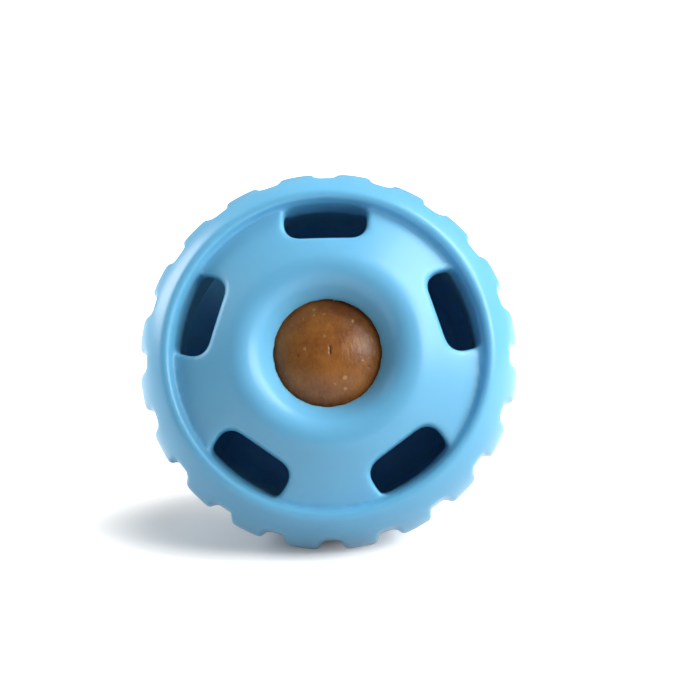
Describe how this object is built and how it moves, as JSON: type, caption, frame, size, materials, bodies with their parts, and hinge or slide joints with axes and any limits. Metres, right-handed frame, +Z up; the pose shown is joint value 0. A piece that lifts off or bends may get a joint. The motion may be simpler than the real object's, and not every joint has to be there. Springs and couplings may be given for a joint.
{
  "type": "treat dispensing dog toy",
  "caption": "Round rubber dog toy with a toothed rim, slotted dome and central hole over a treat ball, in two shells that screw together.",
  "frame": {"origin": "centre of the whole toy's box in X and Y, on the surface that it rests on", "axes": "+Z up, +X to the toy's own left as it faces the viewer, -Y to the front; the toy's axis points forwards and up"},
  "size_m": [0.0948, 0.0688, 0.0908],
  "materials": {
    "shell_rubber": "satin moulded natural rubber",
    "treat": null
  },
  "bodies": {
    "rear_shell": {"rear_shell": "shell_rubber"},
    "treat_ball": {"treat_ball": "treat"},
    "front_shell": {"front_shell": "shell_rubber"}
  },
  "joints": [
    {"name": "shell_twist", "type": "hinge", "parent": "rear_shell", "child": "treat_ball", "pos_m": [0, -0.00436, 0.04443], "axis": [0, -0.9375, 0.3479], "range_deg": [0, 120]},
    {"name": "shell_rise", "type": "slide", "parent": "treat_ball", "child": "front_shell", "axis": [0, -0.9375, 0.3479], "range_m": [0, 0.0081]}
  ],
  "couplings": [
    {"joint": "shell_rise", "follows": "shell_twist", "m_per_rad": 0.0038197}
  ]
}
